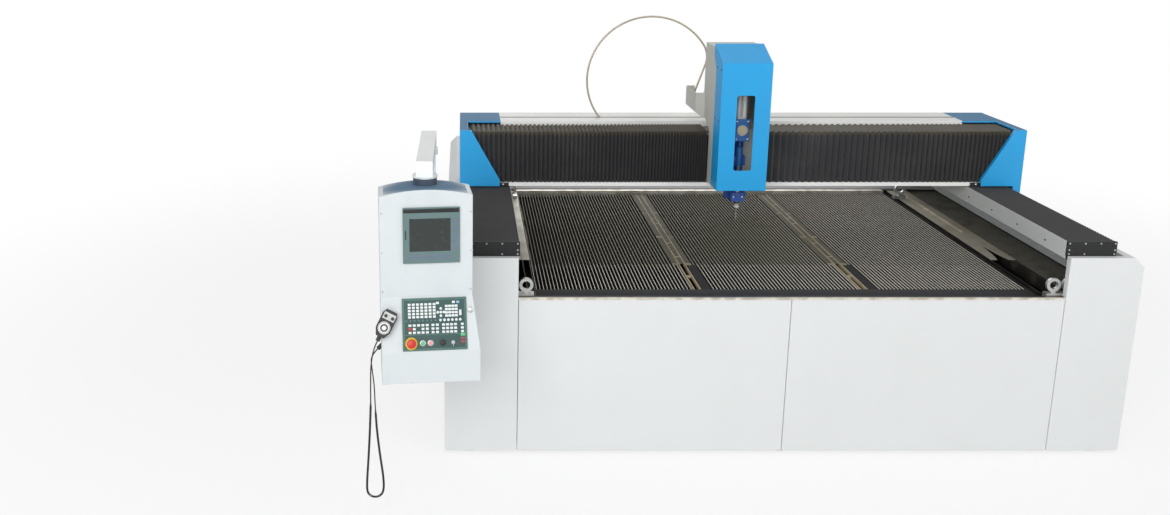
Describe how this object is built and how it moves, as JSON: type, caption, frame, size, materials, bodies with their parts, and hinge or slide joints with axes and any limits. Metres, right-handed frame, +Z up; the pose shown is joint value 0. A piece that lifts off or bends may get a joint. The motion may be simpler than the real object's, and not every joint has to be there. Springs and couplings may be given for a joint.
{
  "type": "abrasive waterjet cutting machine",
  "caption": "Bridge gantry over an open slatted catcher tank, with a carriage, cutting head, pleated way covers and a swinging operator console.",
  "frame": {"origin": "on the floor under the middle levelling foot, the centre of the machine's footprint", "axes": "+Z up, +X to the right seen from the front, -Y the front where the panels and console face"},
  "size_m": [4.6079, 4.1437, 2.5444],
  "materials": {
    "frame_steel": "satin paint",
    "feet_steel": "zinc plated",
    "panel_paint": "fine textured light grey paint",
    "deck_paint": "grey paint",
    "tank_steel": "black coating, wet and stained",
    "stainless": "brushed stainless sheet",
    "slat_steel": "dull galvanised slats with abrasive dirt",
    "support_steel": "rusty steel",
    "grate_black": "black coating",
    "eye_steel": "zinc plated",
    "guide_steel": "ground steel",
    "guard_grey": "grey paint",
    "bellows_black": "coated black fabric",
    "plate_black": "black paint",
    "beam_aluminium": "anodised",
    "cap_blue": "gloss blue paint",
    "tube_steel": "drawn stainless tube",
    "housing_grey": "warm grey paint",
    "anodised_blue": "blue anodised",
    "head_steel": "machined steel",
    "arm_paint": "white paint",
    "swivel_blue": "dark blue paint",
    "console_paint": "pale grey paint",
    "screen_grey": "matte",
    "keys_green": "matte",
    "controls": "gloss",
    "pendant_black": "matte",
    "cord_black": "matte"
  },
  "bodies": {
    "base": {"base_frame": "frame_steel", "levelling_feet": "feet_steel", "right_side_housing": "panel_paint", "left_side_housing": "panel_paint", "front_panels": "panel_paint", "rear_panel": "panel_paint", "rear_deck": "deck_paint", "catcher_tank": "tank_steel", "tank_rims": "stainless", "slat_racks": "slat_steel", "cross_bars": "support_steel", "slat_supports": "support_steel", "support_legs": "tank_steel", "tank_dividers": "tank_steel", "trough_rails": "tank_steel", "trough_covers": "stainless", "side_grates": "grate_black", "lifting_eyes": "eye_steel", "rail_beams": "frame_steel", "rail_guides": "guide_steel", "rail_guards": "guard_grey", "bellows_end_plates": "plate_black", "front_rail_bellows": "bellows_black", "rear_rail_bellows": "bellows_black", "console_post": "arm_paint"},
    "gantry": {"gantry_trucks": "frame_steel", "gantry_sill": "beam_aluminium", "gantry_beam": "frame_steel", "beam_top_rail": "beam_aluminium", "right_end_cap": "cap_blue", "left_end_cap": "cap_blue", "left_beam_bellows": "bellows_black", "right_beam_bellows": "bellows_black", "high_pressure_loop": "tube_steel"},
    "carriage": {"carriage_cover": "cap_blue", "carriage_housing": "housing_grey", "carriage_saddle": "frame_steel", "hose_bracket": "housing_grey", "z_column": "beam_aluminium"},
    "head": {"head_slide": "anodised_blue", "valve_actuator": "anodised_blue", "head_tubes": "beam_aluminium", "cutting_nozzle": "head_steel"},
    "arm": {"console_arm": "arm_paint"},
    "console": {"console_housing": "console_paint", "console_swivel": "swivel_blue", "screen_unit": "screen_grey", "keyboard_panel": "keys_green", "console_controls": "controls", "hand_pendant": "pendant_black", "pendant_cord": "cord_black"}
  },
  "joints": [
    {"name": "gantry_travel", "type": "slide", "parent": "base", "child": "gantry", "axis": [0, 1, 0], "range_m": [-0.86, 1.14], "deforming": ["front_rail_bellows", "rear_rail_bellows"]},
    {"name": "carriage_travel", "type": "slide", "parent": "gantry", "child": "carriage", "axis": [1, 0, 0], "range_m": [-1.37, 1.57], "deforming": ["left_beam_bellows", "right_beam_bellows", "high_pressure_loop"]},
    {"name": "head_travel", "type": "slide", "parent": "carriage", "child": "head", "axis": [0, 0, 1], "range_m": [-0.15, 0.03]},
    {"name": "arm_swing", "type": "hinge", "parent": "base", "child": "arm", "pos_m": [-2.185, -1.47, 1.895], "axis": [0, 0, 1], "range_deg": [-100, 20]},
    {"name": "console_swivel_turn", "type": "hinge", "parent": "arm", "child": "console", "pos_m": [-2.185, -2.135, 1.89], "axis": [0, 0, 1], "range_deg": [-60, 60]}
  ]
}
